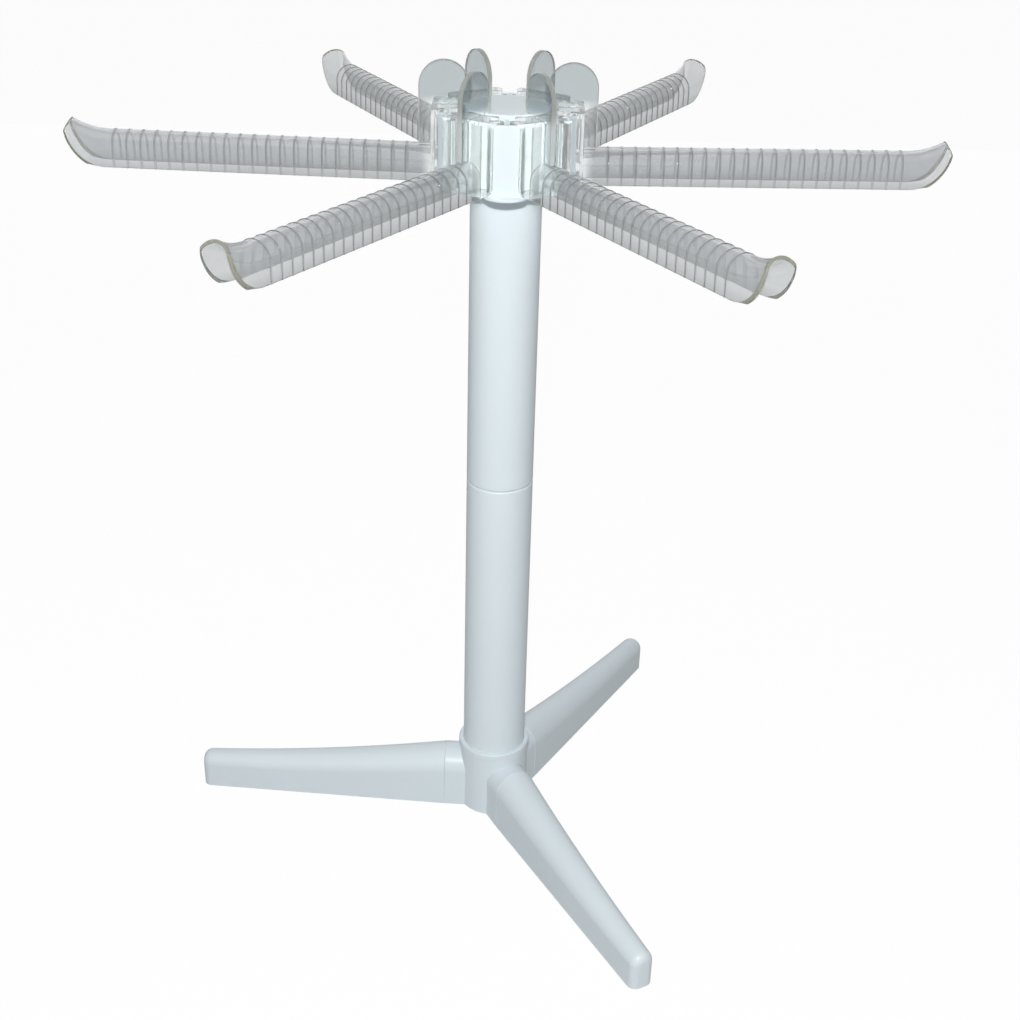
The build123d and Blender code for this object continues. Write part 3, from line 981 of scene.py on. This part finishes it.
def make_leg(foot):
    """A leg with a rounded tip, open below, and the hollow tongue at its joint."""
    edge, wall = foot.edge, foot.leg_wall
    body_steps, tip_steps, hollow_steps, sink = 20, 8, 12, 0.0006
    stations = [(foot.seam + edge * (1 - cos(t)), edge * (1 - sin(t))) for t in SEAM_TURNS]
    body_end = foot.reach - foot.tip_rounding
    first = stations[-1][0]
    stations += [(first + along, 0.0) for along in spread(body_end - first, body_steps)[1:]]
    for turn in spread(pi / 2, tip_steps)[1:]:
        stations.append((body_end + foot.tip_rounding * sin(turn), foot.tip_rounding * (1 - cos(turn))))
    leg = lofted("white_leg", leg_rings(foot, stations, 0.0))
    inner = [(foot.seam + wall + along, wall)
             for along in spread(foot.reach - foot.seam - 2 * wall, hollow_steps)]
    combine(leg, lofted("leg_hollow", leg_rings(foot, inner, -OVERRUN)), "DIFFERENCE")
    tongue = tongue_block("leg_tongue", foot, foot.tongue_end, foot.seam + sink)
    hollow = tongue_block("tongue_hollow", foot, foot.tongue_end + wall, foot.seam, -wall, OVERRUN)
    combine(tongue, hollow, "DIFFERENCE")
    return combine(leg, tongue, "UNION")


def make_hub(foot, column):
    """The barrel with its rim, and the three arched stubs with their sockets."""
    edge, wall, gap, rim_edge, setback = foot.edge, foot.hub_wall, foot.tongue_gap, 0.0009, 0.0002
    under_top = foot.socket_floor - foot.seat
    rim_foot = foot.hub_height - foot.rim_height
    step = foot.rim_radius - foot.hub_radius
    outline = rounded([
        (0.0, 0.0), (foot.hub_radius, 0.0), (foot.hub_radius, rim_foot), (foot.rim_radius, rim_foot + step),
        (foot.rim_radius, foot.hub_height), (0.0, foot.hub_height)], (4,), rim_edge, 5)
    hub = turned_solid("white_base_hub", outline, EVEN_SIDES)
    ends = [(0.0, 0.0)] + [(foot.seam - edge * (1 - sin(t)), edge * (1 - cos(t))) for t in SEAM_TURNS]
    stub = lofted("hub_stub", [
        arch_ring(x, foot.root_half_width - inset, foot.root_height - inset, 0.0, ARCH_SIDES)
        for x, inset in ends])
    stub_hollow = lofted("stub_hollow", [
        arch_ring(x, foot.root_half_width - wall, under_top - UNDERCUT, -OVERRUN, BLOCK_SIDES)
        for x in (foot.tongue_end / 2, foot.seam - wall)])
    start, around = foot.tongue_end - gap, gap + foot.sleeve_wall
    sleeve = tongue_block("hub_sleeve", foot, start - foot.sleeve_wall, foot.seam - setback, around,
                          min(around, foot.tongue_bottom))
    socket = tongue_block("hub_socket", foot, start, foot.seam + OVERRUN, gap, gap)
    angles = leg_angles(foot)
    combine_turned(hub, stub, angles, "UNION")
    combine(hub, disc("hub_hollow", foot.hub_radius - wall, -OVERRUN, under_top), "DIFFERENCE")
    combine_turned(hub, stub_hollow, angles, "DIFFERENCE")
    combine_turned(hub, sleeve, angles, "UNION")
    bore = disc("hub_bore", column.radius + foot.fit, foot.socket_floor, foot.hub_height + OVERRUN,
                EVEN_SIDES)
    combine(hub, bore, "DIFFERENCE")
    combine_turned(hub, socket, angles, "DIFFERENCE")
    return hub


class RACK_OT_foot(bpy.types.Operator):
    """Build the foot's hub and its three legs"""
    bl_idname = "rack.foot"
    bl_label = "Foot"
    bl_options = {"REGISTER", "UNDO"}

    def execute(self, context):
        foot, column = context.scene.rack_foot, context.scene.rack_column
        hub = make_hub(foot, column)
        smooth(hub, WHITE_CREASE)
        finish_piece(hub, "white", "foot", "base_hub")
        leg = make_leg(foot)
        smooth(leg, WHITE_CREASE)
        for k, angle in enumerate(leg_angles(foot)):
            name = "leg_%d" % (k + 1)
            finish_piece(placed_copy(context, leg, "white_%s" % name, angle), "white", name, name)
        bpy.data.objects.remove(leg)
        return {"FINISHED"}


# Stage

def seen_as_backdrop(tree):
    """1 where the camera sees the backdrop straight or through clear plastic, and a share where mirrored."""
    path = add_node(tree, "ShaderNodeLightPath").outputs
    share = 0.2
    seen = calculate(tree, "MAXIMUM", path["Is Camera Ray"], path["Is Transmission Ray"])
    return calculate(tree, "MAXIMUM", seen, calculate(tree, "MULTIPLY", path["Is Glossy Ray"], share))


class RACK_OT_stage(bpy.types.Operator):
    """Set up the floor, the lamps, the surroundings and the camera"""
    bl_idname = "rack.stage"
    bl_label = "Stage"
    bl_options = {"REGISTER", "UNDO"}

    def execute(self, context):
        self.make_floor(context)
        self.make_world(context)
        self.make_lamps(context)
        self.make_camera(context)
        context.scene.view_settings.view_transform = "Standard"
        return {"FINISHED"}

    def make_floor(self, context):
        half = 9.0
        square = [(-half, -half, 0), (half, -half, 0), (half, half, 0), (-half, half, 0)]
        floor = object_from("studio_floor", square, [[0, 1, 2, 3]])
        material, tree, shader = new_material(
            "Studio floor", Base_Color=(*context.scene.rack_finish.floor, 1.0), Roughness=0.9,
            Specular_IOR_Level=0.1)
        glow = add_node(tree, "ShaderNodeEmission", Strength=1.04)
        glow_share = 0.92
        share = calculate(tree, "MULTIPLY", seen_as_backdrop(tree), glow_share)
        mix_surfaces(tree, share, shader, glow, "Material Output")
        floor.data.materials.append(material)

    def make_world(self, context):
        """A dim surround, and a white backdrop where the camera sees it."""
        world = bpy.data.worlds.new("Studio")
        context.scene.world = world
        world.use_nodes = True
        tree = world.node_tree
        surround = fill(tree.nodes["Background"], Color=(0.98, 0.99, 1.0, 1.0), Strength=0.25)
        white = add_node(tree, "ShaderNodeBackground", Color=(1.0, 1.0, 1.0, 1.0), Strength=1.0)
        mix_surfaces(tree, seen_as_backdrop(tree), surround, white, "World Output")

    def make_lamps(self, context):
        """Round lamps: name, place, target, diameter, watts, and whether the camera may see them."""
        for name, place, target, size, power, is_seen in (
                ("Key", (0.0, -0.92, 0.82), (0.0, 0.0, 0.16), 0.045, 8.3, True),
                ("Overhead", (-0.3, -0.1, 1.6), (0.0, 0.0, 0.2), 1.2, 2.4, True),
                ("Behind", (0.0, 1.6, 0.6), (0.0, 0.0, 0.2), 2.4, 7.5, False)):
            light = bpy.data.lights.new(name, "AREA")
            light.shape = "DISK"
            light.size = size
            light.energy = power
            lamp = bpy.data.objects.new(name, light)
            lamp.location = place
            lamp.rotation_euler = (Vector(target) - Vector(place)).to_track_quat("-Z", "Y").to_euler()
            lamp.visible_camera = lamp.visible_transmission = is_seen
            context.scene.collection.objects.link(lamp)

    def make_camera(self, context):
        view = context.scene.rack_camera
        turns = ((-view.yaw, "Z"), (pi / 2 - view.pitch, "X"), (-view.roll, "Z"))
        placed = Matrix.Translation(view.place)
        for angle, axis in turns:
            placed @= Matrix.Rotation(angle, 4, axis)
        lens = bpy.data.cameras.new("Camera")
        lens.lens = view.lens
        lens.sensor_width = 36.0
        lens.clip_start = 0.01
        camera = bpy.data.objects.new("Camera", lens)
        camera.matrix_world = placed
        context.scene.collection.objects.link(camera)
        context.scene.camera = camera


class RACK_PT_panel(bpy.types.Panel):
    """Lists the rack's pieces and sizes"""
    bl_idname = "RACK_PT_panel"
    bl_label = "Pasta rack"
    bl_space_type = "VIEW_3D"
    bl_region_type = "UI"
    bl_category = "Pasta rack"

    def draw(self, context):
        column = self.layout.column()
        for operator in OPERATORS:
            column.operator(operator.bl_idname)
        for key in GROUPS:
            group = getattr(context.scene, key)
            box = self.layout.box()
            for name in group.__annotations__:
                box.prop(group, name)


GROUPS = {"rack_foot": RackFootSizes, "rack_column": RackColumnSizes, "rack_head": RackHeadSizes,
          "rack_arm": RackArmSizes, "rack_finish": RackFinish, "rack_camera": RackCamera}
OPERATORS = (RACK_OT_foot, RACK_OT_column, RACK_OT_head, RACK_OT_arms, RACK_OT_stage)
CLASSES = (*GROUPS.values(), *OPERATORS, RACK_PT_panel)


def register():
    for item in CLASSES:
        bpy.utils.register_class(item)
    for name, group in GROUPS.items():
        setattr(bpy.types.Scene, name, bpy.props.PointerProperty(type=group))


def unregister():
    for name in GROUPS:
        delattr(bpy.types.Scene, name)
    for item in reversed(CLASSES):
        bpy.utils.unregister_class(item)


def corners(box):
    return [list(corner) for corner in box]


def main():
    register()
    for operator in (bpy.ops.rack.foot, bpy.ops.rack.column, bpy.ops.rack.head, bpy.ops.rack.arms,
                     bpy.ops.rack.stage):
        operator()


if __name__ == "__main__":
    main()
